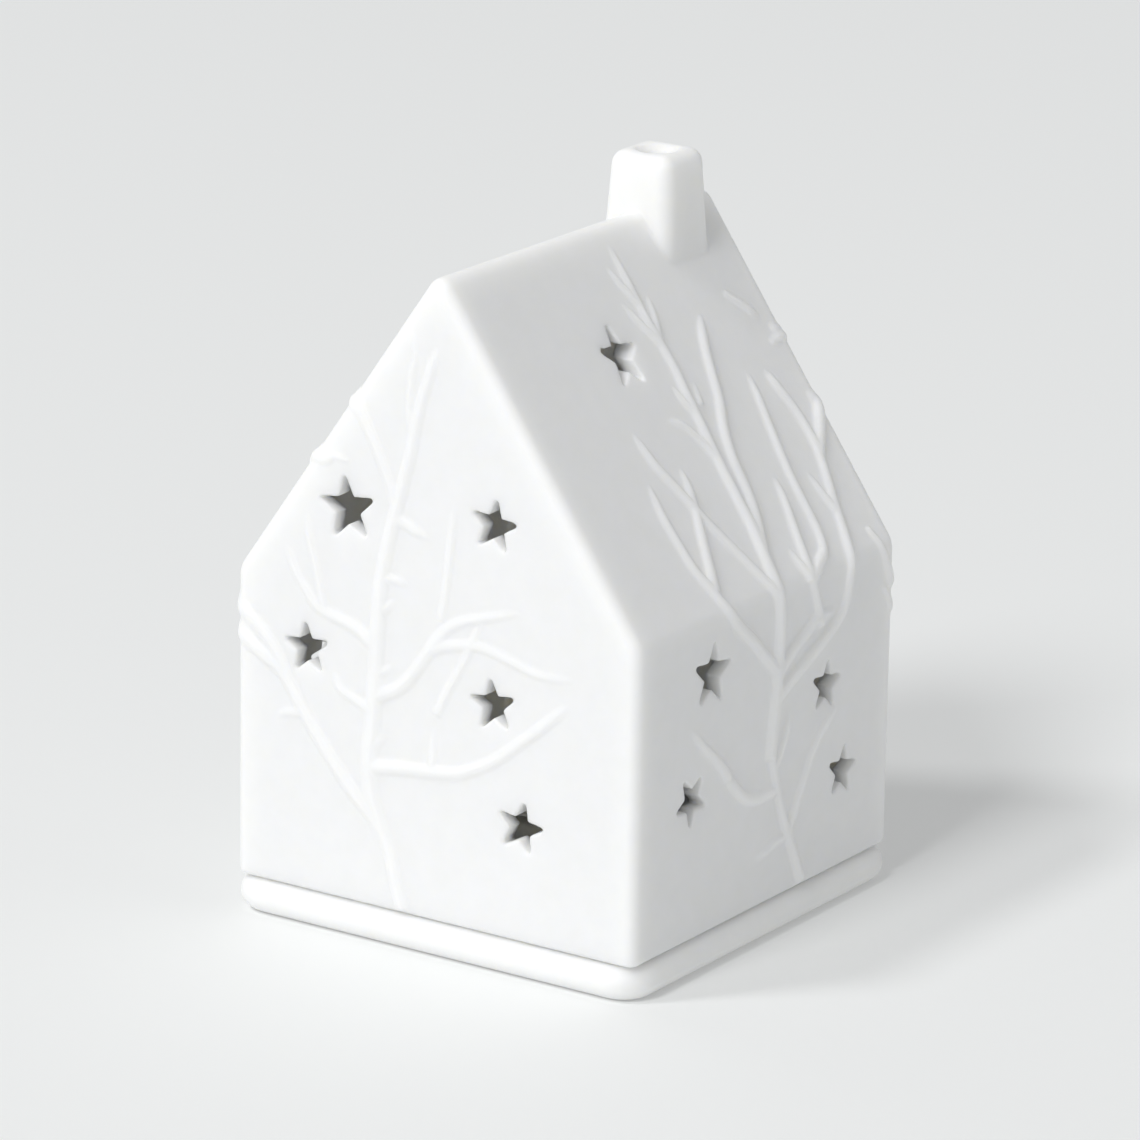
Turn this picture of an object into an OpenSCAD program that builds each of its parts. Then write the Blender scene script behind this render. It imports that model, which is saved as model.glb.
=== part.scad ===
// Tealight house: a pierced porcelain cover that lifts off a porcelain base plate, with a tealight inside.
// Origin: centre of the base plate's underside. +Z up, the front gable faces -Y, the long eaves run along Y.

/* [House cover] */
// Width across the front gable
cover_w = 101; // [80:1:140]
// Depth from the front gable to the back gable
cover_d = 100; // [80:1:140]
// Height of the side walls, from the rim to the eaves
wall_h = 68; // [50:1:100]
// Height of the ridge above the rim
ridge_h = 140; // [110:1:190]
// Thickness of the cast wall
wall_t = 4; // [3:0.1:6]
// Radius of the outer edges and corners
edge_r = 3.5; // [1:0.1:6]
// Radius of the corners inside the cover
inner_r = 2; // [0.5:0.1:4]

/* [Stars] */
// Radius to the points of the large stars
star_large_r = 7; // [5:0.1:9]
// Radius to the points of the small stars
star_small_r = 5.7; // [4:0.1:8]
// Radius of the notches between the points, over the radius of the points
star_notch = 0.45; // [0.38:0.01:0.6]

/* [Chimney] */
// Width of the square chimney where it leaves the ridge
chimney_w = 16.5; // [12:0.5:22]
// Width of the chimney at its top
chimney_top_w = 15; // [10:0.5:20]
// Height of the chimney above the ridge
chimney_h = 10; // [6:0.5:20]
// Distance from the chimney's axis to the back gable
chimney_back = 19; // [14:0.5:30]
// Radius of the chimney's upright corners
chimney_r = 3; // [1:0.1:4]
// Bevel round the top of the chimney
chimney_bevel = 2.4; // [0.5:0.1:2.5]
// Diameter of the flue that lets the warm air out
flue_d = 6; // [4:0.1:8]
// Depth of the countersink round the flue's mouth
flue_lip = 1; // [0.4:0.1:2]

/* [Base plate] */
// Thickness of the plate, which is also the diameter of its round edge
plate_t = 8; // [6:0.1:12]
// How far the plate stands out past the cover
plate_overhang = 1.5; // [0.5:0.1:5]
// Radius of the plate's corners
plate_r = 8; // [6:0.1:15]
// Height of the raised step that centres the cover
step_h = 3; // [2:0.1:6]
// Gap between the step and the inside of the cover
step_gap = 1.5; // [0.5:0.1:3]
// Depth of the hollow under the plate
foot_hollow = 1.5; // [0.5:0.1:3]
// Width of the flat foot round the hollow
foot_w = 7; // [4:0.1:12]

/* [Tealight] */
// Outer diameter of the aluminium cup
cup_d = 38; // [36:0.1:60]
// Height of the cup
cup_h = 16; // [12:0.1:25]
// Thickness of the cup's sheet
cup_t = 0.4; // [0.2:0.05:0.8]
// Thickness of the cup's rolled rim
rim_bead = 1; // [0.6:0.1:1.6]
// Gap between the cup's rim and the well in the base plate
well_gap = 1; // [0.5:0.1:3]
// Depth of the well below the top of the step
well_depth = 3.5; // [1:0.1:5]
// Gap between the wax and the cup's wall
wax_gap = 0.2; // [0.1:0.05:0.6]
// How far the wax stays below the cup's rim
wax_below_rim = 2.5; // [1:0.1:6]
// Diameter of the wick
wick_d = 1.6; // [1:0.1:3]
// Length of the wick above the wax
wick_free = 8; // [5:0.1:14]
// Diameter of the steel disc that holds the wick upright
sustainer_d = 13; // [8:0.1:20]
// Thickness of that disc
sustainer_t = 0.4; // [0.2:0.05:0.8]
// Diameter of the crimped neck round the wick
neck_d = 3; // [2.2:0.1:5]
// Height of that neck above the disc
neck_h = 3.5; // [2:0.1:6]

/* [Hidden] */
$fn = 64;

half_w = cover_w / 2;
half_d = cover_d / 2;
pitch = atan2(ridge_h - wall_h, half_w);
slope_l = norm([half_w, ridge_h - wall_h]);
rim_z = plate_t;
ridge_z = rim_z + ridge_h;
chimney_y = half_d - chimney_back;
cut = 1;

rim_d = cup_d + rim_bead;
well_d = rim_d + 2 * well_gap;
well_z = plate_t + step_h - well_depth;
wax_z = well_z + cup_t;
wax_top = well_z + cup_h - wax_below_rim;
neck_top = wax_z + sustainer_t + neck_h;

// Stars of each face: [across, up, radius, turn]. Across runs from -1 to 1 over the face's width and up from
// 0 to 1 over its height, as seen from outside; the turn is in degrees, counterclockwise.
GABLE_STARS = [
    [-0.436, 0.611, star_large_r, 7], [0.292, 0.63, star_small_r, -6], [-0.638, 0.382, star_small_r, 5],
    [0.295, 0.356, star_small_r, 7], [0.437, 0.177, star_small_r, -10]
];
WALL_STARS = [
    [-0.434, 0.826, star_large_r, -6], [0.463, 0.622, star_small_r, -7],
    [-0.575, 0.451, star_small_r, 32], [0.611, 0.315, star_small_r, -8]
];
ROOF_STARS = [[-0.158, 0.657, star_large_r, 0]];

// Unit vector from a to b.
function toward(a, b) = (b - a) / norm(b - a);

// Centre of the arc of radius r that rounds corner b of a convex outline, between its neighbours a and c.
function arc_centre(a, b, c, r) =
    let (u = toward(b, a), v = toward(b, c), half = acos(u * v) / 2)
    b + r / sin(half) * (u + v) / norm(u + v);

// Foot of the perpendicular from p to the line through a and b.
function foot(p, a, b) = a + ((p - a) * toward(a, b)) * toward(a, b);

// A convex outline with every corner rounded to radius r.
module rounded_outline(points, r) {
    n = len(points);
    centres = [for (i = [0 : n - 1]) arc_centre(points[(i + n - 1) % n], points[i], points[(i + 1) % n], r)];
    polygon([
        for (i = [0 : n - 1])
            for (side = [-1, 1])
                foot(centres[i], points[i], points[(i + n + side) % n])
    ]);
    for (c = centres) translate(c) circle(r);
}

function rectangle(w, d) = [[-w / 2, -d / 2], [w / 2, -d / 2], [w / 2, d / 2], [-w / 2, d / 2]];

module rounded_plate(w, d, h, r) {
    linear_extrude(h) rounded_outline(rectangle(w, d), r);
}

// Corners of the gable outline, drawn inwards by inset from every face except the rim, which goes down by drop.
function gable_points(inset, drop) =
    let (
        w = half_w - inset,
        top = ridge_h - inset / cos(pitch),
        eaves = top - w * tan(pitch)
    )
    [[-w, -drop], [w, -drop], [w, eaves], [0, top], [-w, eaves]];

module gable_prism(inset, drop, depth, r) {
    translate([0, depth / 2, rim_z])
        rotate([90, 0, 0])
            linear_extrude(depth) rounded_outline(gable_points(inset, drop), r);
}

// Everything below one roof slope, with the slope's two gable edges rounded.
module under_slope(side) {
    reach = 2 * ridge_h;
    translate([0, 0, ridge_z])
        rotate([0, side * pitch, 0])
            translate([0, 0, -reach / 2])
                rotate([0, 90, 0])
                    linear_extrude(2 * reach, center = true)
                        rounded_outline(rectangle(reach, cover_d), edge_r);
}

module house_body() {
    intersection() {
        gable_prism(0, edge_r + cut, cover_d, edge_r);
        translate([0, 0, rim_z]) rounded_plate(cover_w, cover_d, ridge_h + cut, edge_r);
        under_slope(1);
        under_slope(-1);
    }
}

// Upright profile of the chimney: it narrows from the ridge to the top, and its top edge is bevelled.
module chimney_profile(root) {
    w = chimney_w / 2;
    top = chimney_top_w / 2;
    spread = (w - top) / chimney_h;
    polygon([
        [-w - spread * root, -root], [w + spread * root, -root],
        [top + spread * chimney_bevel, chimney_h - chimney_bevel], [top - chimney_bevel, chimney_h],
        [chimney_bevel - top, chimney_h], [-top - spread * chimney_bevel, chimney_h - chimney_bevel]
    ]);
}

module chimney() {
    root = chimney_w;
    width = 2 * chimney_w;
    translate([0, chimney_y, ridge_z])
        intersection() {
            rotate([90, 0, 0]) linear_extrude(width, center = true) chimney_profile(root);
            rotate([90, 0, 90]) linear_extrude(width, center = true) chimney_profile(root);
            translate([0, 0, -root]) rounded_plate(chimney_w, chimney_w, root + chimney_h, chimney_r);
        }
}

module flue() {
    translate([0, chimney_y, ridge_z - chimney_w])
        cylinder(d = flue_d, h = chimney_w + chimney_h + cut);
    translate([0, chimney_y, ridge_z + chimney_h - flue_lip])
        cylinder(d1 = flue_d, d2 = flue_d + 2 * (flue_lip + cut), h = flue_lip + cut);
}

module room() {
    intersection() {
        gable_prism(wall_t, inner_r + cut, cover_d - 2 * wall_t, inner_r);
        translate([0, 0, rim_z - cut])
            rounded_plate(cover_w - 2 * wall_t, cover_d - 2 * wall_t, ridge_h, inner_r);
    }
}

// A star-shaped cutter through one wall, standing on the wall's outer face.
module star(radius, turn) {
    depth = 2 * (wall_t + cut);
    linear_extrude(depth, center = true)
        rotate(90 + turn)
            polygon([
                for (i = [0 : 9])
                    let (r = i % 2 == 0 ? radius : radius * star_notch)
                    r * [cos(36 * i), sin(36 * i)]
            ]);
}

module stars_on(stars, half_width, height) {
    for (s = stars)
        translate([s[0] * half_width, s[1] * height, 0]) star(s[2], s[3]);
}

// Face frames: X across as seen from outside, Y up the face, Z outwards. The house is turned by half a turn
// about its upright axis for the opposite face.
module gable_face() {
    translate([0, -half_d, rim_z]) rotate([90, 0, 0]) children();
}

module wall_face() {
    translate([half_w, 0, rim_z]) rotate([90, 0, 90]) children();
}

module roof_face() {
    translate([half_w, 0, rim_z + wall_h]) rotate([0, pitch - 90, 0]) rotate([90, 0, 90]) children();
}

module star_cutters() {
    for (turn = [0, 180])
        rotate([0, 0, turn]) {
            gable_face() stars_on(GABLE_STARS, half_w, ridge_h);
            wall_face() stars_on(WALL_STARS, half_d, wall_h);
            roof_face() stars_on(ROOF_STARS, half_d, slope_l);
        }
}

module house_cover() {
    color("white")
        difference() {
            union() {
                house_body();
                chimney();
            }
            room();
            flue();
            star_cutters();
        }
}

// Half of the plate's section, from the axis of a corner out to the round edge.
module round_edge_section(reach, t) {
    intersection() {
        rounded_outline(rectangle(2 * reach, t), t / 2);
        translate([0, -t]) square([reach, 2 * t]);
    }
}

// A plate with a full round edge: a straight run each way and a quarter turn of its section at each corner.
module round_edged_plate(w, d, t, r) {
    across = w - 2 * r;
    along = d - 2 * r;
    translate([0, 0, t / 2]) {
        rotate([90, 0, 0]) linear_extrude(along, center = true) rounded_outline(rectangle(w, t), t / 2);
        rotate([90, 0, 90]) linear_extrude(across, center = true) rounded_outline(rectangle(d, t), t / 2);
        for (corner = [[1, 1, 0], [-1, 1, 90], [-1, -1, 180], [1, -1, 270]])
            translate([corner[0] * across / 2, corner[1] * along / 2, 0])
                rotate([0, 0, corner[2]])
                    rotate_extrude(angle = 90) round_edge_section(r, t);
    }
}

module base_plate() {
    w = cover_w + 2 * plate_overhang;
    d = cover_d + 2 * plate_overhang;
    hollow = plate_t + 2 * foot_w;
    step = 2 * (wall_t + step_gap);
    color("white")
        difference() {
            union() {
                round_edged_plate(w, d, plate_t, plate_r);
                translate([0, 0, plate_t / 2])
                    rounded_plate(cover_w - step, cover_d - step, plate_t / 2 + step_h, inner_r);
            }
            translate([0, 0, -cut]) rounded_plate(w - hollow, d - hollow, cut + foot_hollow, plate_r - edge_r);
            translate([0, 0, well_z]) cylinder(d = well_d, h = well_depth + cut);
        }
}

module tealight_cup() {
    color("silver")
        translate([0, 0, well_z])
            rotate_extrude() {
                square([cup_d / 2, cup_t]);
                translate([cup_d / 2 - cup_t, 0]) square([cup_t, cup_h - rim_bead / 2]);
                translate([cup_d / 2, cup_h - rim_bead / 2]) circle(d = rim_bead);
            }
}

module tealight_wax() {
    color("ivory")
        difference() {
            translate([0, 0, wax_z]) cylinder(d = cup_d - 2 * (cup_t + wax_gap), h = wax_top - wax_z);
            translate([0, 0, wax_z - cut]) cylinder(d = sustainer_d, h = cut + sustainer_t);
            cylinder(d = neck_d, h = neck_top);
            cylinder(d = wick_d, h = wax_top + cut);
        }
}

module wick() {
    color("linen")
        translate([0, 0, wax_z + sustainer_t])
            cylinder(d = wick_d, h = wax_top + wick_free - wax_z - sustainer_t);
}

module wick_sustainer() {
    color("gray")
        difference() {
            translate([0, 0, wax_z]) {
                cylinder(d = sustainer_d, h = sustainer_t);
                cylinder(d = neck_d, h = sustainer_t + neck_h);
            }
            translate([0, 0, wax_z + sustainer_t]) cylinder(d = wick_d, h = neck_h + cut);
        }
}

base_plate();
house_cover();
tealight_cup();
tealight_wax();
wick();
wick_sustainer();
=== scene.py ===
"""A porcelain tealight house: the looks of its pierced cover, its base plate and the tealight inside.

The pieces are modelled in millimetres, in the frame's axes, and brought to metres when they are finished.
"""
import math

import bmesh
import bpy
from mathutils import Matrix, Vector


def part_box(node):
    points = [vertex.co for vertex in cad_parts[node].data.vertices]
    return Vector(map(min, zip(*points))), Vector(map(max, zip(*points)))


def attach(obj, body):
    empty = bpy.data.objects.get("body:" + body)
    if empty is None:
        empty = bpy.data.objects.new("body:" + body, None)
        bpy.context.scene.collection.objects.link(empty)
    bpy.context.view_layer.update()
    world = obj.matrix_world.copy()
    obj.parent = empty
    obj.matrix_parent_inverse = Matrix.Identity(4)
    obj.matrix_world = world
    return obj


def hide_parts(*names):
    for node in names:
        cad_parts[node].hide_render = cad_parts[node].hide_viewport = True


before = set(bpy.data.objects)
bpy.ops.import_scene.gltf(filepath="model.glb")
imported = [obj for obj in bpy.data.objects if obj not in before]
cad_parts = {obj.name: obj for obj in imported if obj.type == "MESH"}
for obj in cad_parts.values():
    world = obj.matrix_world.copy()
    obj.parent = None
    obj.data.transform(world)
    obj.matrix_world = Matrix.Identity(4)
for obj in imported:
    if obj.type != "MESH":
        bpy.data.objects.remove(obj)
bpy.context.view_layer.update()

MM = 0.001
SLIGHT = 1e-3  # places that are closer than this are the same
X, Y, Z = Vector((1, 0, 0)), Vector((0, 1, 0)), Vector((0, 0, 1))


def millimetres(node):
    """The lowest and highest corners of a CAD node, in millimetres."""
    return [Vector(corner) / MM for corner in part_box(node)]


# ---- sizes, in millimetres -------------------------------------------------------------------------------

COVER_LOW, COVER_HIGH = millimetres("house_cover")
PLATE_LOW, PLATE_HIGH = millimetres("base_plate")
CUP_LOW, CUP_HIGH = millimetres("tealight_cup")
WAX_LOW, WAX_HIGH = millimetres("tealight_wax")
WICK_LOW, WICK_HIGH = millimetres("wick")
DISC_LOW, DISC_HIGH = millimetres("wick_sustainer")

WIDTH = COVER_HIGH.x - COVER_LOW.x
DEPTH = COVER_HIGH.y - COVER_LOW.y
RIM = COVER_LOW.z
CHIMNEY_TOP = COVER_HIGH.z
WALL_HEIGHT = 68.0
RIDGE_HEIGHT = 140.0
WALL = 4.0
PITCH = math.atan2(RIDGE_HEIGHT - WALL_HEIGHT, WIDTH / 2)

RIDGE_ROUND = 3.2
EAVES_ROUND = 5.5
GABLE_ROUND = 3.4
RIM_ROUND = 1.0
ROOM_ROUND = 2.0
RIM_CHAMFER = 0.7

CHIMNEY_Y = 31.0
CHIMNEY_WIDTH = 19.0  # at the root, inside the roof
CHIMNEY_TOP_WIDTH = 15.2
CHIMNEY_ROOT = 24.0  # from the ridge down to the root
CHIMNEY_ROUND = 3.0
FLUE_RADIUS = 3.0
FLUE_LENGTH = 36.0
FLUE_MOUTH = [(0, -2.2), (0.5, -1.2), (1.3, -0.4), (2.3, 0.3)]  # out from the flue, up from the top

STAR_NOTCH = 0.45  # radius to the notches, as a share of the radius to the points
STAR_DEPTH = 10.0  # reach of the punch to either side of the wall's face
STAR_TIP_ROUND = 1.9
STAR_TIP_LOSS = 1.1  # what the rounding takes off a point

ROUTE_STEPS = 5  # steps from one listed point of a branch to the next
BRANCH_SPREAD = 1.15  # widens every branch by what the softening takes off it
BRANCH_RELIEF = {"front": 0.18, "side": 0.27}  # height as a share of the width
BRANCH_FLAT = 3.6  # a wider branch is no higher than one of this width
BRANCH_LIFT = 0.2  # height that is added for what the softening takes off
BRANCH_SINK = 0.1  # how far below the wall's face a branch ends

COVER_GRAIN = 0.3  # fineness of the cast skin
PLATE_GRAIN = 0.4
SOFTENING = 9  # rounds of smoothing
FOOT_SOFTENING = 36
SMOOTHING = 0.5  # share of the way to the neighbours' middle that a round moves a point
FOOT_FILLET = 3.0
FOOT_TAPER = 0.6  # taper of each side of the chimney, from its root to where it leaves the roof
COVER_TRIANGLES = 170000
PLATE_TRIANGLES = 60000
SHARP_ANGLE = math.radians(48)

PLATE_CORNER = 8.0
PLATE_EDGE_FLAT = 0.05  # half the flat band that is left round the full round edge
STEP_GAP = 1.5
FOOT_WIDTH = 7.0
FOOT_HOLLOW = 1.5
WELL_GAP = 1.0
WELL_HEEL = [(-0.8, 0), (-0.2, 0.25), (0, 0.8)]  # out from the well's wall, up from its floor
WELL_LIP = [(0, -0.7), (0.7, 0), (0.7, 1)]  # out from the well's wall, up from the plate's top

CUP_WALL_RADIUS = 19.0
CUP_SHEET = 0.35
CUP_HEEL = 1.6
CUP_FLOOR = [(-6, 0.5), (-5, 0.25), (-3.4, 0)]  # the stamped floor: out from the wall, up from the bottom
CUP_WALL_FROM, CUP_WALL_TO = 5.0, 2.4  # the plain wall: from above the bottom to below the top
PLEATS = 60
PLEAT_DEPTH = 0.12
PLEATS_FROM, PLEATS_TO = 0.12, 0.86  # shares of the cup's height

WAX_HEEL = 1.4
WAX_AT_WALL = [(0, 0.2), (0.15, 0), (0.5, 0.22), (1.4, 0.42), (4, 0.55)]  # in from the wall, down
WAX_HALF_WAY = 0.62
WAX_AT_WICK = [(4.5, 0.6), (2.6, 0.45), (1.6, 0.2), (1.1, 0)]  # radius, down

WICK_STRANDS = 3
WICK_STEPS = 64
WICK_LAY = 4.5  # height of one turn of a strand
WICK_LEAN = 6.0  # how sharply the tip bends to one side
WICK_LEAN_FROM = 0.6  # share of the wick's height
WICK_TIP = 0.5  # share by which the strands close at the tip
STRAND_PRESS = 0.05  # by how much a strand's radius is over a quarter of the wick's width

DISC_SHEET = 0.35
DISC_EDGE = 0.1
RING_FROM, RING_TO = 0.55, 0.65  # the slope of the stiffening ring, as shares of the disc's radius
RING_RISE = 0.15
RING_SHEET = 0.05  # what the sheet gains at the ring
NECK_RADIUS = 1.5
NECK_GAP = 0.05  # between the wick and the neck
NECK_FOOT = [(0.5, 0.2), (0, 0.8)]  # out from the neck, up from the disc
NECK_MOUTH = [(-0.1, -0.5), (-0.3, 0)]  # out from the neck, up from its top
CRIMP_FROM = 1.6  # height above the disc's underside
CRIMPS = 4
CRIMP_DEPTH = 0.16  # share of the radius

# Stars of the front gable and of the right wall with its roof slope: across, up, radius to the points and
# turn in degrees. Across is measured from the middle of the face and up from the rim, and past the eaves it
# follows the slope. The back gable and the left side take the same stars, turned half round the house.
STARS = {
    "front": [
        (-22.0, 85.5, 7.0, 7), (14.7, 88.2, 5.7, -6), (-32.2, 53.4, 5.7, 5), (14.9, 49.9, 5.7, 7),
        (22.1, 24.8, 5.7, -10),
    ],
    "side": [
        (-21.7, 56.2, 7.0, -6), (23.1, 42.3, 5.7, -7), (-28.8, 30.7, 5.7, 32), (30.5, 21.4, 5.7, -8),
        (-7.4, 125.6, 6.1, -4),
    ],
}

# Branches in low relief on the same faces: the width at the start and at the end, and the points that the
# branch passes, across and up.
BRANCHES = {
    "front": [
        (3.2, 3.0, [(-7, 1), (-9, 7), (-10.5, 13), (-14.5, 19.5), (-20.5, 25), (-27.5, 33), (-33, 40),
                    (-38, 47), (-44, 50.5), (-48.5, 53.2), (-50.5, 54.5)]),
        (2.8, 3.4, [(-36.5, 45), (-40, 52), (-45, 56.5), (-48.8, 59.3), (-50.5, 60.4)]),
        (4.4, 2.0, [(-12, 15), (-15, 24), (-16, 32), (-15, 42), (-14.5, 52), (-14, 62), (-13.5, 70),
                    (-12, 78), (-10, 86), (-8, 93), (-6, 101), (-4, 110), (-1.5, 118), (0.5, 124)]),
        (1.6, 1.3, [(-5.5, 103), (-6.5, 110), (-6, 117), (-5, 121), (-6.5, 128)]),
        (2.8, 1.8, [(-14, 56.5), (-19, 60), (-24, 61.5), (-29, 63), (-32, 66), (-35, 70), (-37.5, 75.5)]),
        (1.8, 1.4, [(-27.5, 62.5), (-29.3, 70), (-31.3, 77), (-32.3, 84)]),
        (2.4, 1.6, [(-15, 42.5), (-19, 44.5), (-23.5, 46.5), (-25.2, 50)]),
        (2.4, 3.4, [(-9.5, 88), (-12, 95), (-15.5, 102), (-18.5, 107), (-20, 109.8), (-21.3, 111.2)]),
        (1.0, 3.4, [(-22, 96), (-26, 96.5), (-28.8, 97), (-30.8, 97.2)]),
        (2.6, 1.8, [(-10.5, 84.5), (-8, 85.2), (-5, 84), (-1, 82.8)]),
        (1.9, 1.5, [(2, 66), (3.3, 75), (4.2, 84), (5, 92)]),
        (3.0, 1.8, [(-15, 46), (-9, 49), (-5, 53), (-1.5, 58), (2, 63), (7, 66.5), (13, 68.5),
                    (23, 71.5)]),
        (2.4, 1.6, [(-1, 59), (5, 61), (12, 62), (18, 60.8), (26, 58.8), (36.5, 59)]),
        (2.0, 1.6, [(1, 45.5), (4, 51.5), (7.5, 57.5), (10, 63), (12.5, 68)]),
        (3.2, 1.9, [(-17, 30.5), (-9, 31.8), (-1, 32.6), (6, 33.6), (11, 35.6), (16, 38.6), (21, 42.6),
                    (26, 46.8), (30, 50.4), (34.5, 54)]),
        (2.0, 1.6, [(-33, 39), (-37, 38.5), (-40, 37)]),
        (1.8, 1.5, [(-15, 35), (-10.8, 39.5)]),
        (1.8, 1.5, [(-14, 50.8), (-9.5, 54.6)]),
        (1.7, 1.4, [(0, 34), (0.6, 44)]),
        (2.0, 1.6, [(-14, 72.3), (-10, 72.5), (-5.8, 72)]),
        (1.9, 1.5, [(-13.5, 64.5), (-8.5, 69)]),
    ],
    "side": [
        (3.2, 2.0, [(14, 1.5), (10.5, 9), (7.5, 15), (4.7, 22), (2.7, 28), (1.3, 33), (1.7, 38)]),
        (4.0, 1.9, [(1, 32), (1.7, 38), (2.6, 44), (3.1, 50), (3.6, 57), (3.6, 63), (3.2, 68), (4, 75),
                    (5, 82), (5.3, 90), (5.5, 98), (6.1, 106), (6.6, 114), (7.1, 121), (6.6, 127),
                    (6.4, 133), (6.6, 140), (6.9, 150)]),
        (3.2, 1.9, [(2.5, 51), (-2.5, 55.5), (-7.5, 60.3), (-13, 64.8), (-16, 69), (-18, 74), (-20, 79.5),
                    (-20.7, 86), (-21, 92.5), (-20, 99.5)]),
        (2.8, 1.7, [(-17, 73.5), (-14.5, 79.5), (-12, 85.5), (-9.8, 90.5), (-8.3, 95), (-7.6, 100)]),
        (2.4, 2.2, [(2.5, 67.5), (-0.6, 73), (-4.1, 79.5), (-7.6, 86), (-10.2, 91.5), (-12.6, 97),
                    (-15.3, 103), (-16.7, 110.5)]),
        (2.8, 2.3, [(4.6, 77), (8, 84), (9.6, 90), (10.4, 97), (12.6, 104), (16, 110), (18.6, 117),
                    (21.1, 123), (25, 129)]),
        (1.6, 1.4, [(10, 89.5), (12.3, 95.5)]),
        (3.0, 2.2, [(3.6, 50.5), (10, 54.3), (16, 57.4), (19.5, 58.5), (26, 58.2)]),
        (2.6, 1.8, [(20, 56.5), (18.2, 62), (16.2, 67), (14.3, 71), (13.2, 75.5)]),
        (2.7, 2.0, [(15.6, 67), (20, 70), (24, 72.3), (25.6, 77), (25.9, 85), (26.4, 92), (27.7, 100),
                    (29, 107), (30, 113.5)]),
        (2.8, 1.8, [(15.3, 67), (17, 73), (18.4, 79), (20, 85), (20.8, 91)]),
        (3.0, 2.2, [(3.4, 45), (11, 48.5), (18, 51.5), (24, 54.5), (28.5, 57.7), (30.5, 62), (31.9, 68),
                    (34.1, 75), (36.2, 82), (38.6, 89), (39.7, 95.5), (39.1, 102), (37.3, 108),
                    (35.8, 112.5)]),
        (2.8, 3.6, [(39.5, 91.5), (43, 95.5), (46, 99), (48.6, 102), (50.8, 104.6)]),
        (2.1, 1.6, [(35.2, 77.5), (33.6, 83), (32.2, 89)]),
        (1.2, 3.6, [(42.3, 72.8), (44.5, 67), (47, 62), (48.6, 59.5), (50.5, 57)]),
        (1.0, 3.6, [(45, 59), (47.5, 55.6), (48.6, 53.8), (50.5, 51)]),
        (1.4, 2.4, [(36, 131), (38, 129), (40.5, 126.5), (43.5, 123.5)]),
        (1.2, 4.4, [(43, 117.5), (46, 117.8), (48.7, 118), (50.8, 118)]),
        (1.9, 1.4, [(6.4, 134.5), (4, 140), (2.4, 145)]),
        (2.1, 1.5, [(6.6, 125.5), (3.6, 131), (1.1, 137)]),
        (1.9, 1.5, [(7, 126), (9.2, 131), (10.9, 136.5)]),
        (1.6, 1.3, [(6.2, 108.5), (4.3, 112.8), (3.4, 116.5)]),
        (1.5, 1.3, [(9.4, 110.5), (11.2, 116)]),
        (2.0, 1.5, [(5.4, 98.5), (3.2, 103.5), (0.2, 107.8), (-3.8, 110)]),
        (2.4, 3.0, [(2.5, 24.3), (-4, 24.6), (-9, 26.2), (-13, 29.5), (-16.5, 33.5)]),
        (3.0, 1.6, [(-15.5, 32.3), (-18, 35.3), (-21.5, 38.5), (-26, 42.5), (-30, 46.5)]),
        (2.6, 1.7, [(8.3, 13.5), (12.2, 20), (15.4, 25.3), (18.6, 30), (23, 34), (27.5, 36.5)]),
        (2.2, 1.8, [(2.5, 29), (6.3, 34.5), (9, 41.5)]),
        (1.9, 1.3, [(8, 13), (3, 12.5), (0, 11.5), (-4.5, 11)]),
    ],
}


# ---- mesh helpers ----------------------------------------------------------------------------------------


def as_object(bm, name):
    """A new object that holds the bmesh."""
    mesh = bpy.data.meshes.new(name)
    bm.to_mesh(mesh)
    bm.free()
    piece = bpy.data.objects.new(name, mesh)
    bpy.context.scene.collection.objects.link(piece)
    return piece


def settle(piece):
    """Applies the piece's modifiers to its mesh."""
    graph = bpy.context.evaluated_depsgraph_get()
    mesh = bpy.data.meshes.new_from_object(piece.evaluated_get(graph))
    piece.modifiers.clear()
    piece.data = mesh
    return piece


def modify(piece, kind, **settings):
    """Adds a modifier with these settings and applies it."""
    modifier = piece.modifiers.new(kind.title(), kind)
    for key, value in settings.items():
        setattr(modifier, key, value)
    return settle(piece)


def cut(piece, tool, operation="DIFFERENCE"):
    """Cuts the tool out of the piece, or adds it, and discards the tool."""
    modify(piece, "BOOLEAN", object=tool, operation=operation, solver="MANIFOLD")
    bpy.data.objects.remove(tool)
    return piece


def merged(pieces, name):
    """One object that holds the meshes of all these pieces, which are discarded."""
    bm = bmesh.new()
    for piece in pieces:
        bm.from_mesh(piece.data)
        bpy.data.objects.remove(piece)
    return as_object(bm, name)


def rounded(bm, edges, offset, segments=8):
    """Rounds these edges, from this far off on both faces, which is the radius where they meet squarely."""
    bmesh.ops.bevel(
        bm, geom=edges, offset=offset, offset_type="OFFSET", segments=segments, profile=0.5,
        affect="EDGES", material=-1, clamp_overlap=True,
    )


def edges_where(bm, test):
    """The edges whose two ends pass the test."""
    return [edge for edge in bm.edges if test(*(v.co for v in edge.verts))]


def lathe(profile, steps=64, closed=False):
    """A bmesh of the profile, (radius, height) points, turned about the Z axis."""
    bm = bmesh.new()
    points = [bm.verts.new((r, 0, z)) for r, z in profile]
    edges = [bm.edges.new(pair) for pair in zip(points, points[1:])]
    if closed:
        edges.append(bm.edges.new((points[-1], points[0])))
    bmesh.ops.spin(
        bm, geom=points + edges, cent=(0, 0, 0), axis=(0, 0, 1), angle=2 * math.pi, steps=steps,
        use_merge=True,
    )
    bmesh.ops.remove_doubles(bm, verts=bm.verts, dist=1e-4)
    bmesh.ops.recalc_face_normals(bm, faces=bm.faces)
    return bm


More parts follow.
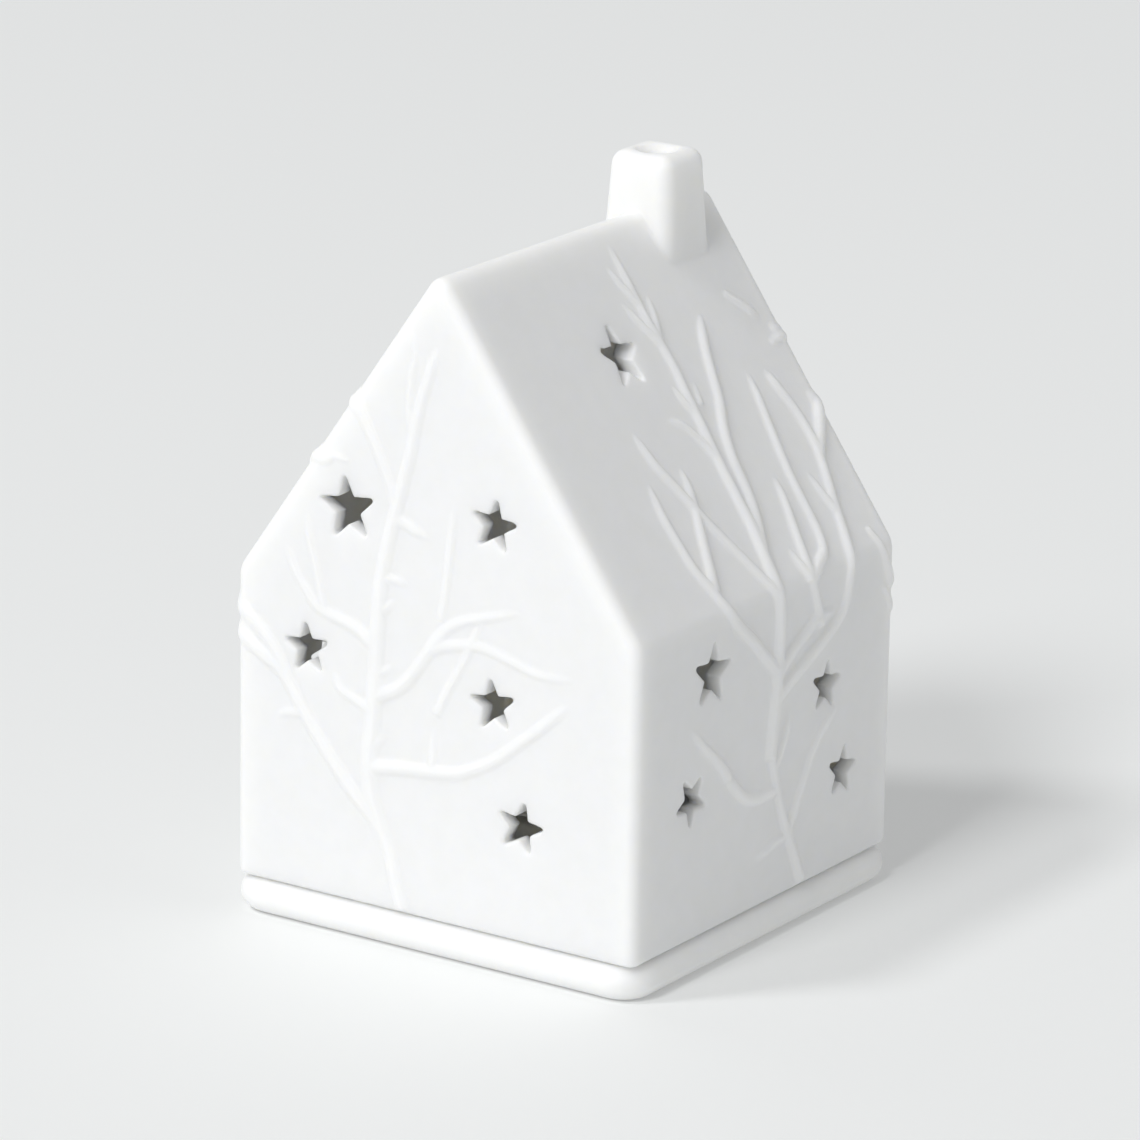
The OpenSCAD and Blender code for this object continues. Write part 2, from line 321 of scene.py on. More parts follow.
def curve_mesh(curve, name):
    """A mesh object of the curve's tubes."""
    holder = bpy.data.objects.new(name, curve)
    bpy.context.scene.collection.objects.link(holder)
    graph = bpy.context.evaluated_depsgraph_get()
    mesh = bpy.data.meshes.new_from_object(holder.evaluated_get(graph))
    bpy.data.objects.remove(holder)
    piece = bpy.data.objects.new(name, mesh)
    bpy.context.scene.collection.objects.link(piece)
    return piece


def half_turn(piece):
    """A copy of the piece, turned half round the house."""
    copy = piece.copy()
    copy.data = piece.data.copy()
    copy.data.transform(Matrix.Rotation(math.pi, 4, "Z"))
    bpy.context.scene.collection.objects.link(copy)
    return copy


def finish_piece(piece, material, body, slot, *nodes):
    """Brings a piece to metres, gives it its finish, and tells the frame what it stands for."""
    piece.data.transform(Matrix.Scale(MM, 4))
    piece.data.materials.clear()
    piece.data.materials.append(material)
    piece.data.shade_smooth()
    piece.data.set_sharp_from_angle(angle=SHARP_ANGLE)
    modify(piece, "WEIGHTED_NORMAL", mode="FACE_AREA", weight=50, keep_sharp=True)
    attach(piece, body)
    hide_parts(*nodes)
    return piece


# ---- house cover -----------------------------------------------------------------------------------------


def gabled_block(width, depth, eaves, ridge, low):
    """A solid with a gable at each end. Its eaves, its ridge and its bottom are heights above the rim."""
    bm = bmesh.new()
    bmesh.ops.create_cube(bm, size=1)
    bmesh.ops.translate(bm, verts=bm.verts, vec=Z / 2)
    bmesh.ops.scale(bm, verts=bm.verts, vec=(width, depth, eaves - low))
    bmesh.ops.translate(bm, verts=bm.verts, vec=Z * (RIM + low))
    everything = bm.verts[:] + bm.edges[:] + bm.faces[:]
    bmesh.ops.bisect_plane(bm, geom=everything, plane_co=(0, 0, 0), plane_no=X)
    top = RIM + eaves
    crest = [v for v in bm.verts if abs(v.co.x) < SLIGHT and abs(v.co.z - top) < SLIGHT]
    bmesh.ops.translate(bm, verts=crest, vec=Z * (ridge - eaves))
    return bm


def round_long_edges(bm, ridge_round, eaves_round):
    """Rounds the ridge and the eaves of a gabled block to these radii."""
    highest = max(v.co.z for v in bm.verts)
    lowest = min(v.co.z for v in bm.verts)
    half_ridge = math.pi / 2 - PITCH
    half_eaves = (math.pi / 2 + PITCH) / 2

    def along(a, b):
        return abs(a.x - b.x) < SLIGHT and abs(a.z - b.z) < SLIGHT

    ridge = edges_where(bm, lambda a, b: along(a, b) and a.z > highest - SLIGHT)
    rounded(bm, ridge, ridge_round / math.tan(half_ridge))
    eaves = edges_where(
        bm, lambda a, b: along(a, b) and abs(a.x) > WIDTH / 4 and lowest + 1 < a.z < highest - 1,
    )
    rounded(bm, eaves, eaves_round / math.tan(half_eaves))


def round_ends(bm, radius):
    """Rounds the outline of both end faces of a gabled block, down to its bottom."""
    far = max(v.co.y for v in bm.verts)
    lowest = min(v.co.z for v in bm.verts)

    def outline(a, b):
        flat = abs(abs(a.y) - far) < SLIGHT and abs(a.y - b.y) < SLIGHT
        return flat and not (a.z < lowest + SLIGHT and b.z < lowest + SLIGHT)

    bm.normal_update()
    edges = [
        edge for edge in edges_where(bm, outline)
        if len({abs(face.normal.y) > 0.99 for face in edge.link_faces}) == 2
    ]
    rounded(bm, edges, radius)


def round_bottom(bm, radius):
    """Rounds the outer edge of the bottom of a gabled block."""
    lowest = min(v.co.z for v in bm.verts)
    bm.normal_update()
    edges = [
        edge for edge in edges_where(bm, lambda a, b: a.z < lowest + SLIGHT and b.z < lowest + SLIGHT)
        if len({face.normal.z < -0.99 for face in edge.link_faces}) == 2
    ]
    rounded(bm, edges, radius, segments=4)


def house_block():
    """The outside of the house, without its chimney."""
    bm = gabled_block(WIDTH, DEPTH, WALL_HEIGHT, RIDGE_HEIGHT, 0)
    round_long_edges(bm, RIDGE_ROUND, EAVES_ROUND)
    round_ends(bm, GABLE_ROUND)
    round_bottom(bm, RIM_ROUND)
    return as_object(bm, "house_block")


def chimney_block():
    """The chimney, tapered to its top, with its root deep in the ridge."""
    bm = bmesh.new()
    height = CHIMNEY_TOP - RIM - RIDGE_HEIGHT + CHIMNEY_ROOT
    bmesh.ops.create_cube(bm, size=1)
    bmesh.ops.translate(bm, verts=bm.verts, vec=-Z / 2)
    bmesh.ops.scale(bm, verts=bm.verts, vec=(CHIMNEY_WIDTH, CHIMNEY_WIDTH, height))
    top = [v for v in bm.verts if v.co.z > -SLIGHT]
    taper = CHIMNEY_TOP_WIDTH / CHIMNEY_WIDTH
    bmesh.ops.scale(bm, verts=top, vec=(taper, taper, 1))
    rounded(bm, edges_where(bm, lambda a, b: a.z > -height + 1 or b.z > -height + 1), CHIMNEY_ROUND)
    bmesh.ops.translate(bm, verts=bm.verts, vec=(0, CHIMNEY_Y, CHIMNEY_TOP))
    return as_object(bm, "chimney_block")


def flue_cutter():
    """The hole down the chimney, with a dished mouth."""
    bottom = CHIMNEY_TOP - FLUE_LENGTH
    mouth = [(FLUE_RADIUS + out, CHIMNEY_TOP + up) for out, up in FLUE_MOUTH]
    bm = lathe([(0, bottom), (FLUE_RADIUS, bottom), *mouth, (0, mouth[-1][1])], steps=48)
    bmesh.ops.translate(bm, verts=bm.verts, vec=Y * CHIMNEY_Y)
    return as_object(bm, "flue_cutter")


def on_flat(face, across, up):
    """A point of a face of the cover, as if its edges were sharp, the way across and the outward way."""
    if face == "front":
        return Vector((across, -DEPTH / 2, RIM + up)), X, -Y
    if up <= WALL_HEIGHT:
        return Vector((WIDTH / 2, across, RIM + up)), Y, X
    run = up - WALL_HEIGHT
    inward, rise = run * math.cos(PITCH), run * math.sin(PITCH)
    point = Vector((WIDTH / 2 - inward, across, RIM + WALL_HEIGHT + rise))
    return point, Y, Vector((math.sin(PITCH), 0, math.cos(PITCH)))


def over_eaves(point, up):
    """A point of the side moved in to the rounded eaves, and the outward way, which turns there."""
    bend = math.pi / 2 - PITCH
    reach = EAVES_ROUND * math.tan(bend / 2)
    share = min(max((up - WALL_HEIGHT) / reach, -1.0), 1.0)
    turn = bend * (share + 1) / 2
    out = Vector((math.cos(turn), 0, math.sin(turn)))
    return point - out * (reach * (1 - abs(share))) ** 2 / (2 * EAVES_ROUND), out


def on_skin(face, across, up):
    """A point of the cover's skin and the outward way, which turns with the rounded ends of the face."""
    point, right, out = on_flat(face, across, up)
    side = right * math.copysign(1, across)
    margin = DEPTH / 2 - abs(across)
    if face == "front":
        below_slope = (RIDGE_HEIGHT - up) * math.cos(PITCH) - abs(across) * math.sin(PITCH)
        margin = WIDTH / 2 - abs(across)
        if below_slope < margin:
            margin = below_slope
            side = Vector((math.copysign(math.sin(PITCH), across), 0, math.cos(PITCH)))
    else:
        point, out = over_eaves(point, up)
    turn = math.asin(min(max(1 - margin / GABLE_ROUND, 0.0), 1.0))
    return point - out * GABLE_ROUND * (1 - math.cos(turn)), out * math.cos(turn) + side * math.sin(turn)


def star_cutter(face, across, up, radius, turn):
    """A star-shaped punch through a face, level like the slides of the mould, on the roof slope as well."""
    bm = bmesh.new()
    sharp = radius + STAR_TIP_LOSS
    bmesh.ops.create_circle(bm, cap_ends=True, segments=10, radius=sharp)
    ring = sorted(bm.verts, key=lambda v: math.atan2(v.co.y, v.co.x))
    notch = STAR_NOTCH * radius / sharp
    bmesh.ops.scale(bm, verts=ring[1::2], vec=(notch, notch, 1))
    tip = Vector(ring[0].co).angle(Y)
    bmesh.ops.rotate(bm, verts=bm.verts, matrix=Matrix.Rotation(tip + math.radians(turn), 3, "Z"))
    grown = bmesh.ops.extrude_face_region(bm, geom=bm.faces[:])["geom"]
    far_end = [v for v in grown if isinstance(v, bmesh.types.BMVert)]
    bmesh.ops.translate(bm, verts=far_end, vec=Z * 2 * STAR_DEPTH)
    bmesh.ops.recalc_face_normals(bm, faces=bm.faces)
    tips = edges_where(bm, lambda a, b: abs(a.z - b.z) > STAR_DEPTH and a.xy.length > radius * 0.9)
    rounded(bm, tips, STAR_TIP_ROUND, segments=5)
    point, right, _ = on_flat(face, across, up)
    out = right.cross(Z)
    place = Matrix((right, Z, out)).transposed().to_4x4()
    place.translation = point - out * STAR_DEPTH
    bmesh.ops.transform(bm, matrix=place, verts=bm.verts)
    return as_object(bm, "star_cutter")


def smooth_route(points):
    """Many points along the smooth curve that passes these points."""
    points = [Vector(point) for point in points]
    points = [2 * points[0] - points[1], *points, 2 * points[-1] - points[-2]]
    for a, b, c, d in zip(points, points[1:], points[2:], points[3:]):
        bend, twist = 2 * a - 5 * b + 4 * c - d, 3 * b - a - 3 * c + d
        for i in range(ROUTE_STEPS):
            t = i / ROUTE_STEPS
            yield (2 * b + (c - a) * t + bend * t ** 2 + twist * t ** 3) / 2
    yield points[-2]


def branch_relief():
    """Every branch of one front and one side, as a tube that lies mostly inside the wall and ends in it."""
    curve = bpy.data.curves.new("branches", "CURVE")
    curve.dimensions = "3D"
    curve.bevel_depth = 1
    curve.bevel_resolution = 3
    curve.use_fill_caps = True
    for face, branches in BRANCHES.items():
        for thick, thin, route in branches:
            knots = list(smooth_route(route))
            last = len(knots) - 1
            spline = curve.splines.new("POLY")
            spline.points.add(last)
            for i, (across, up) in enumerate(knots):
                width = BRANCH_SPREAD * (thick + (thin - thick) * i / last)
                proud = BRANCH_RELIEF[face] * min(width, BRANCH_FLAT) + BRANCH_LIFT
                radius = (width ** 2 / 4 + proud ** 2) / (2 * proud)
                sunk = max(0.0, 1 - (last - i) / ROUTE_STEPS) ** 2
                depth = radius - proud + (proud + BRANCH_SINK) * sunk
                point, out = on_skin(face, across, up)
                spline.points[i].co = (*(point - out * depth), 1)
                spline.points[i].radius = radius
    return curve_mesh(curve, "branches")


def room_cutter():
    """The hollow of the cover, flared at the rim so that the inner edge is broken."""
    inset_ridge = RIDGE_HEIGHT - WALL / math.cos(PITCH)
    inset_eaves = inset_ridge - (WIDTH / 2 - WALL) * math.tan(PITCH)
    bm = gabled_block(WIDTH - 2 * WALL, DEPTH - 2 * WALL, inset_eaves, inset_ridge, RIM_CHAMFER)
    round_long_edges(bm, ROOM_ROUND, ROOM_ROUND)
    round_ends(bm, ROOM_ROUND)
    bm.normal_update()
    lowest = min(v.co.z for v in bm.verts)
    floor = [face for face in bm.faces if all(v.co.z < lowest + SLIGHT for v in face.verts)]
    grown = bmesh.ops.extrude_face_region(bm, geom=floor)["geom"]
    bmesh.ops.delete(bm, geom=floor, context="FACES_ONLY")
    verts = [v for v in grown if isinstance(v, bmesh.types.BMVert)]
    drop = 2 * RIM_CHAMFER
    bmesh.ops.translate(bm, verts=verts, vec=-Z * drop)
    bmesh.ops.scale(bm, verts=verts, vec=(1 + 2 * drop / WIDTH, 1 + 2 * drop / DEPTH, 1))
    bmesh.ops.recalc_face_normals(bm, faces=bm.faces)
    return as_object(bm, "room_cutter")


def cast(piece, grain, triangles, soften=None):
    """Fuses a piece's parts into one skin, softened all over as slip-cast ware is."""
    modify(piece, "REMESH", mode="VOXEL", voxel_size=grain)
    modify(piece, "SMOOTH", factor=SMOOTHING, iterations=SOFTENING)
    if soften:
        soften(piece)
    return modify(piece, "DECIMATE", ratio=triangles / (2 * len(piece.data.polygons)))


def soften_chimney_foot(cover):
    """Fills the inner corner where the chimney leaves the roof."""
    group = cover.vertex_groups.new(name="chimney_foot")
    for v in cover.data.vertices:
        across, along, up = abs(v.co.x), abs(v.co.y - CHIMNEY_Y), v.co.z - RIM
        beside = max(across, along) - CHIMNEY_WIDTH / 2 + FOOT_TAPER
        above = (up - RIDGE_HEIGHT) * math.cos(PITCH) + across * math.sin(PITCH)
        reach = math.hypot(beside, above) / FOOT_FILLET
        if reach < 1:
            group.add([v.index], min(1.0, 2 * (1 - reach)), "REPLACE")
    modify(cover, "SMOOTH", factor=SMOOTHING, iterations=FOOT_SOFTENING, vertex_group=group.name)
    cover.vertex_groups.clear()


def house_cover(material):
    """The cover: one cast skin with its chimney, stars and branches, which is then hollowed."""
    cover = cut(house_block(), chimney_block(), "UNION")
    cut(cover, flue_cutter())
    for face, stars in STARS.items():
        for star in stars:
            punch = star_cutter(face, *star)
            cut(cover, half_turn(punch))
            cut(cover, punch)
    branches = branch_relief()
    cover = merged([cover, half_turn(branches), branches], "house_cover_porcelain")
    cast(cover, COVER_GRAIN, COVER_TRIANGLES, soften_chimney_foot)
    cut(cover, room_cutter())
    return finish_piece(cover, material, "cover", "bisque_porcelain", "house_cover")


# ---- base plate ------------------------------------------------------------------------------------------


def plate_blank():
    """The plate with its full round edge, its raised step and the hollow under it."""
    size = PLATE_HIGH - PLATE_LOW
    bm = bmesh.new()
    bmesh.ops.create_cube(bm, size=1)
    bmesh.ops.translate(bm, verts=bm.verts, vec=Z / 2)
    bmesh.ops.scale(bm, verts=bm.verts, vec=(size.x, size.y, RIM))
    rounded(bm, edges_where(bm, lambda a, b: abs(a.z - b.z) > 1), PLATE_CORNER, segments=12)
    rounded(bm, edges_where(bm, lambda a, b: abs(a.z - b.z) < SLIGHT), RIM / 2 - PLATE_EDGE_FLAT)
    bm.normal_update()
    caps = [face for face in bm.faces if abs(face.normal.z) > 0.999]
    top, bottom = sorted(caps, key=lambda face: -face.calc_center_median().z)
    flat = min(v.co.y for v in top.verts)
    step_edge = DEPTH / 2 - WALL - STEP_GAP
    bmesh.ops.inset_region(bm, faces=[top], thickness=-flat - step_edge, use_even_offset=True)
    bmesh.ops.inset_region(bm, faces=[bottom], thickness=FOOT_WIDTH, use_even_offset=True)
    for face, rise in ((top, PLATE_HIGH.z - RIM), (bottom, FOOT_HOLLOW)):
        grown = bmesh.ops.extrude_face_region(bm, geom=[face])["geom"]
        bmesh.ops.delete(bm, geom=[face], context="FACES_ONLY")
        moved = [v for v in grown if isinstance(v, bmesh.types.BMVert)]
        bmesh.ops.translate(bm, verts=moved, vec=Z * rise)
    bmesh.ops.recalc_face_normals(bm, faces=bm.faces)
    return as_object(bm, "plate_blank")


def well_cutter():
    """The seat of the tealight, with a broken edge and a small radius at its floor."""
    radius = CUP_HIGH.x + WELL_GAP
    floor, top = CUP_LOW.z, PLATE_HIGH.z
    heel = [(radius + out, floor + up) for out, up in WELL_HEEL]
    lip = [(radius + out, top + up) for out, up in WELL_LIP]
    return as_object(lathe([(0, floor), *heel, *lip, (0, lip[-1][1])], steps=96), "well_cutter")


def base_plate(material):
    """The plate, cast like the cover."""
    plate = cut(plate_blank(), well_cutter())
    plate.name = "base_plate_porcelain"
    cast(plate, PLATE_GRAIN, PLATE_TRIANGLES)
    return finish_piece(plate, material, "base", "bisque_porcelain", "base_plate")


# ---- tealight --------------------------------------------------------------------------------------------


def arc(centre, radius, start, end, steps):
    """Points of an arc in the lathe's plane, from one angle to the other in degrees."""
    angles = [math.radians(start + (end - start) * i / steps) for i in range(steps + 1)]
    return [(centre[0] + radius * math.cos(a), centre[1] + radius * math.sin(a)) for a in angles]


def tealight_cup(material):
    """A cup drawn from thin sheet: a stamped floor, a finely pleated wall and a rolled rim."""
    floor, top = CUP_LOW.z, CUP_HIGH.z
    bead = CUP_HIGH.x - CUP_WALL_RADIUS
    outer, inner = CUP_WALL_RADIUS, CUP_WALL_RADIUS - CUP_SHEET
    wall_from, wall_to = floor + CUP_WALL_FROM, top - CUP_WALL_TO
    stamped = [(outer + out, floor + up) for out, up in CUP_FLOOR]
    outside = [(0, stamped[0][1]), *stamped]
    inside = [(radius, height + CUP_SHEET) for radius, height in reversed(outside)]
    heel = (outer - CUP_HEEL, floor + CUP_HEEL)
    profile = [
        *outside, *arc(heel, CUP_HEEL, -90, 0, 6), (outer, wall_from), (outer, wall_to),
        *arc((outer, top - bead), bead, -60, 200, 12), (inner, wall_to), (inner, wall_from),
        *arc(heel, CUP_HEEL - CUP_SHEET, 0, -90, 6), *inside,
    ]
    bm = lathe(profile, steps=PLEATS * 4)
    uprights = edges_where(bm, lambda a, b: abs(a.z - b.z) > 0.9 * (wall_to - wall_from))
    bmesh.ops.subdivide_edges(bm, edges=uprights, cuts=6, use_grid_fill=True)
    for v in bm.verts:
        height = (v.co.z - floor) / (top - floor)
        if v.co.xy.length > inner - 0.2 and PLEATS_FROM < height < PLEATS_TO:
            swell = math.sin(math.pi * (height - PLEATS_FROM) / (PLEATS_TO - PLEATS_FROM))
            turn = math.atan2(v.co.y, v.co.x)
            out = v.co.xy.normalized() * PLEAT_DEPTH * swell * math.sin(PLEATS * turn)
            v.co += Vector((out.x, out.y, 0))
    cup = as_object(bm, "tealight_cup_sheet")
    return finish_piece(cup, material, "tealight", "cup_aluminium", "tealight_cup")


def tealight_wax(material):
    """Poured wax: it climbs a little at the cup's wall and at the wick, and sinks between them."""
    radius, floor, top = WAX_HIGH.x, WAX_LOW.z + CUP_FLOOR[0][1], WAX_HIGH.z
    profile = [
        (0, floor), (radius - WAX_HEEL - 0.2, floor),
        *arc((radius - WAX_HEEL, floor + WAX_HEEL), WAX_HEEL, -70, 0, 5),
        *((radius - inward, top - down) for inward, down in WAX_AT_WALL), (radius / 2, top - WAX_HALF_WAY),
        *((reach, top - down) for reach, down in WAX_AT_WICK), (0, top),
    ]
    bm = lathe(profile, steps=96)
    wax = as_object(bm, "tealight_wax_fill")
    return finish_piece(wax, material, "tealight", "candle_wax", "tealight_wax")


def wick(material):
    """Cotton strands laid round each other, standing up out of the wax."""
    curve = bpy.data.curves.new("wick", "CURVE")
    curve.dimensions = "3D"
    strand = (WICK_HIGH.x - WICK_LOW.x) / 4 + STRAND_PRESS
    curve.bevel_depth = strand
    curve.bevel_resolution = 3
    curve.use_fill_caps = True
    length = WICK_HIGH.z - WICK_LOW.z
    for start in range(WICK_STRANDS):
        spline = curve.splines.new("POLY")
        spline.points.add(WICK_STEPS)
        for i, knot in enumerate(spline.points):
            share = i / WICK_STEPS
            turn = 2 * math.pi * (start / WICK_STRANDS + share * length / WICK_LAY)
            reach = (WICK_HIGH.x - strand) * (1 - WICK_TIP * share ** 8)
            lean = WICK_LEAN * max(0.0, share - WICK_LEAN_FROM) ** 2
            height = WICK_LOW.z + share * length
            knot.co = (reach * math.cos(turn) + lean, reach * math.sin(turn), height, 1)
    piece = curve_mesh(curve, "wick_braid")
    return finish_piece(piece, material, "tealight", "wick_cotton", "wick")


def wick_sustainer(material):
    """A stamped disc with a stiffening ring and a neck that is crimped on to the wick."""
    floor, top = DISC_LOW.z, DISC_HIGH.z
    radius, bore = DISC_HIGH.x, WICK_HIGH.x + NECK_GAP
    ring_inner, ring_outer, raised = radius * RING_FROM, radius * RING_TO, floor + RING_RISE
    foot = [(NECK_RADIUS + out, floor + DISC_SHEET + up) for out, up in NECK_FOOT]
    mouth = [(NECK_RADIUS + out, top + up) for out, up in NECK_MOUTH]
    profile = [
        (bore, raised), (ring_inner, raised), (ring_outer, floor), (radius - DISC_EDGE, floor),
        (radius, floor + DISC_EDGE), (radius, floor + DISC_SHEET),
        (ring_outer, floor + DISC_SHEET + RING_SHEET), (ring_inner, foot[0][1]), *foot, *mouth, (bore, top),
    ]
    bm = lathe(profile, steps=64, closed=True)
    for v in bm.verts:
        if v.co.z > floor + CRIMP_FROM and v.co.xy.length > bore + 0.2:
            turn = math.atan2(v.co.y, v.co.x)
            squeeze = 1 - CRIMP_DEPTH * max(0.0, math.cos(CRIMPS * turn)) ** 2
            v.co.x *= squeeze
            v.co.y *= squeeze
    piece = as_object(bm, "wick_sustainer_disc")
    return finish_piece(piece, material, "tealight", "sustainer_steel", "wick_sustainer")


# ---- finishes --------------------------------------------------------------------------------------------

NOISE_LOW, NOISE_HIGH = 0.3, 0.7  # most of the noise lies between these


def finish(name, colour, roughness, **sockets):
    """A material whose shader has these even values, with its nodes, ready for its texture."""
    material = bpy.data.materials.new(name)
    material.use_nodes = True
    nodes, links = material.node_tree.nodes, material.node_tree.links
    shader = nodes["Principled BSDF"]
    shader.inputs["Base Color"].default_value = (*colour, 1)
    shader.inputs["Roughness"].default_value = roughness
    for socket, value in sockets.items():
        shader.inputs[socket.replace("_", " ")].default_value = value
    return material, nodes, links, shader


def noise(nodes, links, scale, detail=3.0, stretch=(1, 1, 1)):
    """Noise on the piece's own coordinates, stretched along its axes."""
    place = nodes.new("ShaderNodeTexCoord")
    mapping = nodes.new("ShaderNodeMapping")
    mapping.inputs["Scale"].default_value = stretch
    texture = nodes.new("ShaderNodeTexNoise")
    texture.inputs["Scale"].default_value = scale
    texture.inputs["Detail"].default_value = detail
    links.new(place.outputs["Object"], mapping.inputs["Vector"])
    links.new(mapping.outputs["Vector"], texture.inputs["Vector"])
    return texture.outputs["Fac"]


def tinted(nodes, links, factor, low, high):
    """A colour that runs from low to high with the factor."""
    ramp = nodes.new("ShaderNodeValToRGB")
    ramp.color_ramp.elements[0].position = NOISE_LOW
    ramp.color_ramp.elements[0].color = (*low, 1)
    ramp.color_ramp.elements[1].position = NOISE_HIGH
    ramp.color_ramp.elements[1].color = (*high, 1)
    links.new(factor, ramp.inputs["Fac"])
    return ramp.outputs["Color"]


def spread(nodes, links, factor, low, high):
    """A value that runs from low to high with the factor."""
    span = nodes.new("ShaderNodeMapRange")
    span.inputs["From Min"].default_value = NOISE_LOW
    span.inputs["From Max"].default_value = NOISE_HIGH
    span.inputs["To Min"].default_value = low
    span.inputs["To Max"].default_value = high
    links.new(factor, span.inputs["Value"])
    return span.outputs["Result"]


def bumped(nodes, links, layers):
    """One bump over another, each a height, its depth in metres and its strength."""
    below = None
    for height, depth, strength in layers:
        bump = nodes.new("ShaderNodeBump")
        bump.inputs["Distance"].default_value = depth
        bump.inputs["Strength"].default_value = strength
        links.new(height, bump.inputs["Height"])
        if below:
            links.new(below, bump.inputs["Normal"])
        below = bump.outputs["Normal"]
    return below


def bisque_porcelain():
    """Unglazed white porcelain: matte, with a fine tooth and a faint unevenness from the mould."""
    material, nodes, links, shader = finish(
        "bisque_porcelain", (0.92, 0.92, 0.91), 0.62, Subsurface_Weight=1.0, Subsurface_Scale=0.005,
    )
    shader.inputs["Subsurface Radius"].default_value = (1.0, 0.97, 0.88)
    patches = noise(nodes, links, 160, 2)
    tooth = noise(nodes, links, 2600, 4)
    colour = tinted(nodes, links, patches, (0.915, 0.914, 0.9), (0.935, 0.934, 0.92))
    links.new(colour, shader.inputs["Base Color"])
    links.new(spread(nodes, links, tooth, 0.56, 0.7), shader.inputs["Roughness"])
    relief = [(patches, 0.0003, 0.25), (tooth, 0.00004, 0.35)]
    links.new(bumped(nodes, links, relief), shader.inputs["Normal"])
    return material


def cup_aluminium():
    """Drawn aluminium sheet, with fine upright draw marks."""
    material, nodes, links, shader = finish("cup_aluminium", (0.8, 0.81, 0.82), 0.3, Metallic=1.0)
    marks = noise(nodes, links, 1400, 3, (1, 1, 0.05))
    cloud = noise(nodes, links, 220, 3)
    colour = tinted(nodes, links, cloud, (0.76, 0.77, 0.78), (0.84, 0.85, 0.86))
    links.new(colour, shader.inputs["Base Color"])
    links.new(spread(nodes, links, marks, 0.36, 0.56), shader.inputs["Roughness"])
    relief = [(cloud, 0.0001, 0.2), (marks, 0.00002, 0.3)]
    links.new(bumped(nodes, links, relief), shader.inputs["Normal"])
    return material


def candle_wax():
    """White paraffin, a little translucent, with the soft hollows of a poured surface."""
    material, nodes, links, shader = finish(
        "candle_wax", (0.92, 0.9, 0.83), 0.38, Subsurface_Weight=0.35, Subsurface_Scale=0.002,
    )
    shader.inputs["Subsurface Radius"].default_value = (1.0, 0.8, 0.55)
    hollows = noise(nodes, links, 130, 2)
    bloom = noise(nodes, links, 900, 4)
    colour = tinted(nodes, links, bloom, (0.9, 0.88, 0.8), (0.94, 0.925, 0.87))
    links.new(colour, shader.inputs["Base Color"])
    links.new(spread(nodes, links, hollows, 0.3, 0.5), shader.inputs["Roughness"])
    relief = [(hollows, 0.0004, 0.4), (bloom, 0.00003, 0.3)]
    links.new(bumped(nodes, links, relief), shader.inputs["Normal"])
    return material


def wick_cotton():
    """Waxed cotton, with fibres along the strands."""
    material, nodes, links, shader = finish("wick_cotton", (0.86, 0.83, 0.75), 0.8, Sheen_Weight=0.2)
    fibres = noise(nodes, links, 5200, 4, (1, 1, 0.25))
    colour = tinted(nodes, links, fibres, (0.76, 0.72, 0.62), (0.93, 0.91, 0.85))
    links.new(colour, shader.inputs["Base Color"])
    links.new(bumped(nodes, links, [(fibres, 0.0001, 0.6)]), shader.inputs["Normal"])
    return material


def sustainer_steel():
    """Tinned steel sheet, stamped."""
    material, nodes, links, shader = finish("sustainer_steel", (0.6, 0.6, 0.61), 0.35, Metallic=1.0)
    grain = noise(nodes, links, 2400, 3)
    colour = tinted(nodes, links, grain, (0.5, 0.5, 0.51), (0.68, 0.68, 0.69))
    links.new(colour, shader.inputs["Base Color"])
    links.new(spread(nodes, links, grain, 0.28, 0.48), shader.inputs["Roughness"])
    links.new(bumped(nodes, links, [(grain, 0.00003, 0.3)]), shader.inputs["Normal"])
    return material


# ---- stage, in metres and watts --------------------------------------------------------------------------

FOCAL_WIDTHS = 5.8625  # focal length in sensor widths
SENSOR = 36.0  # millimetres
AZIMUTH, ELEVATION, ROLL = math.radians(33.698), math.radians(16.935), math.radians(0.923)
DISTANCE = 1.4148
AIM = Vector((0, 0, 0.068))
SHIFT_RIGHT, SHIFT_UP = 0.00025, 0.00401

FLOOR_REACH = 6  # from the middle to each edge
FLOOR_COLOUR = (0.7, 0.71, 0.71)
FLOOR_GLOW = 0.155
LIGHT_DISTANCE = 8.0
AIR_COLOUR, AIR_STRENGTH = (0.99, 1.0, 1.0), 0.42


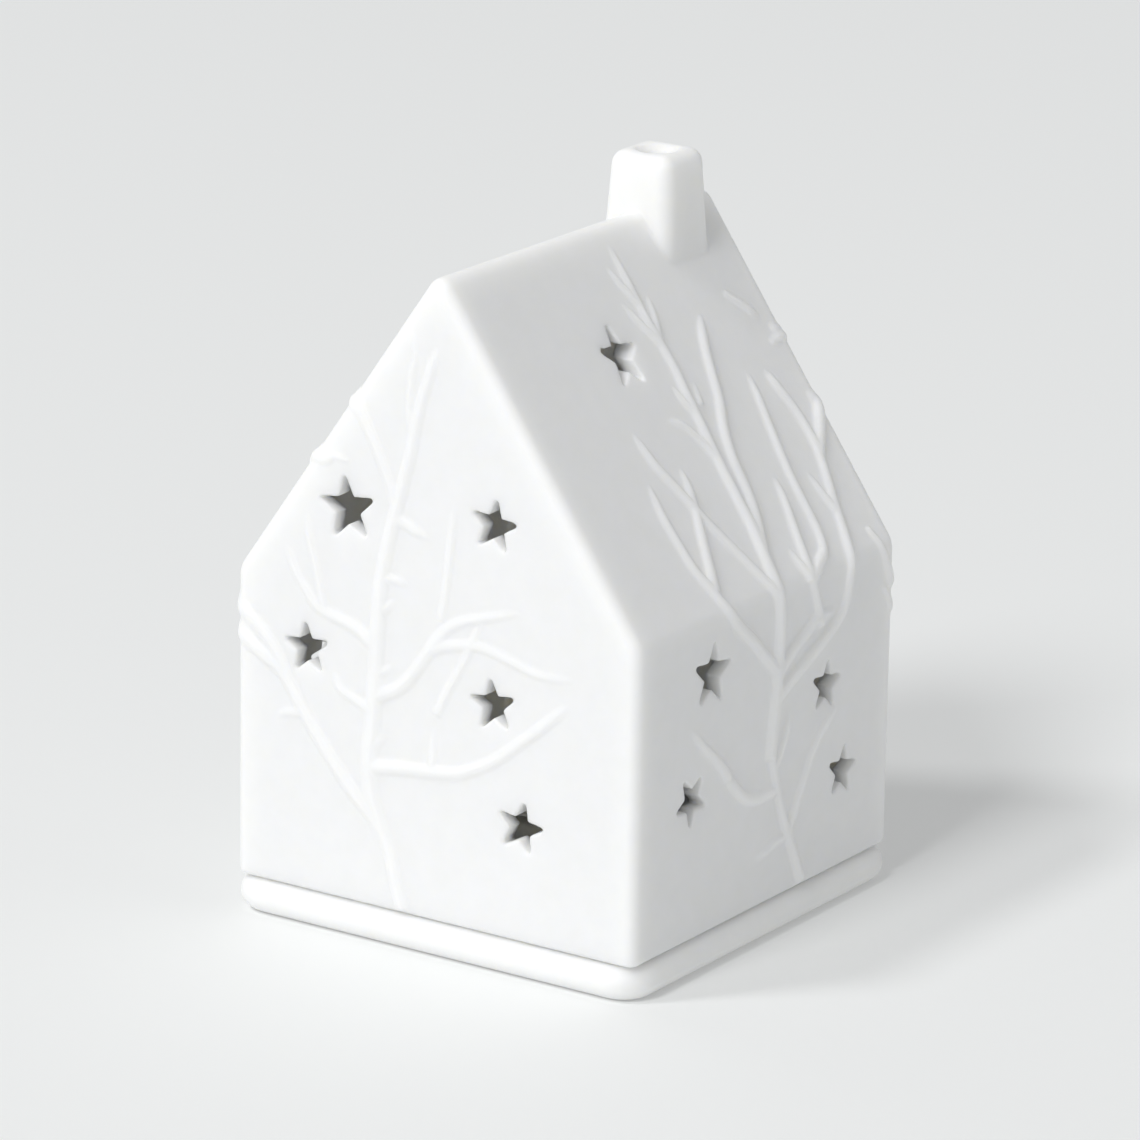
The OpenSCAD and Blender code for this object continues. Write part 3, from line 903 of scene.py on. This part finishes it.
def studio_camera():
    """A long lens that looks down a little, turned so that the front gable is on the left."""
    outwards = math.cos(ELEVATION)
    back = Vector((math.sin(AZIMUTH) * outwards, -math.cos(AZIMUTH) * outwards, math.sin(ELEVATION)))
    level = Vector((math.cos(AZIMUTH), math.sin(AZIMUTH), 0))
    upright = back.cross(level)
    right = math.cos(ROLL) * level + math.sin(ROLL) * upright
    up = math.cos(ROLL) * upright - math.sin(ROLL) * level
    data = bpy.data.cameras.new("studio_camera")
    data.sensor_width = SENSOR
    data.lens = FOCAL_WIDTHS * SENSOR
    data.clip_start = 0.05
    camera = bpy.data.objects.new("studio_camera", data)
    place = Matrix((right, up, back)).transposed().to_4x4()
    place.translation = AIM + back * DISTANCE + right * SHIFT_RIGHT + up * SHIFT_UP
    camera.matrix_world = place
    bpy.context.scene.collection.objects.link(camera)
    bpy.context.scene.camera = camera


def studio_floor():
    """A pale, faintly back-lit table top without an edge in view."""
    bm = bmesh.new()
    bmesh.ops.create_grid(bm, x_segments=1, y_segments=1, size=FLOOR_REACH)
    floor = as_object(bm, "studio_floor")
    material = bpy.data.materials.new("studio_floor")
    material.use_nodes = True
    shader = material.node_tree.nodes["Principled BSDF"]
    shader.inputs["Base Color"].default_value = (*FLOOR_COLOUR, 1)
    shader.inputs["Roughness"].default_value = 0.8
    shader.inputs["Emission Color"].default_value = (1.0, 1.0, 1.0, 1)
    shader.inputs["Emission Strength"].default_value = FLOOR_GLOW
    floor.data.materials.append(material)


def soft_light(name, towards, size, power):
    """A round soft box that stands that way from the house and shines at it."""
    data = bpy.data.lights.new(name, "AREA")
    data.shape = "DISK"
    data.size = size
    data.energy = power
    light = bpy.data.objects.new(name, data)
    way = Vector(towards).normalized()
    place = way.to_track_quat("Z", "Y").to_matrix().to_4x4()
    place.translation = AIM + way * LIGHT_DISTANCE
    light.matrix_world = place
    bpy.context.scene.collection.objects.link(light)


def studio_air():
    """An even, faint light from all round."""
    world = bpy.data.worlds.new("studio_air")
    world.use_nodes = True
    background = world.node_tree.nodes["Background"]
    background.inputs["Color"].default_value = (*AIR_COLOUR, 1)
    background.inputs["Strength"].default_value = AIR_STRENGTH
    bpy.context.scene.world = world


def studio():
    """The camera, the floor and the lights round the house."""
    studio_camera()
    studio_floor()
    soft_light("key_light", towards=(-0.363, -0.459, 0.811), size=1.4, power=165)
    soft_light("front_light", towards=(-0.01, -0.73, 0.69), size=2.4, power=272)
    studio_air()
    bpy.context.scene.view_settings.view_transform = "Standard"


studio()
porcelain = bisque_porcelain()
house_cover(porcelain)
base_plate(porcelain)
tealight_cup(cup_aluminium())
tealight_wax(candle_wax())
wick(wick_cotton())
wick_sustainer(sustainer_steel())
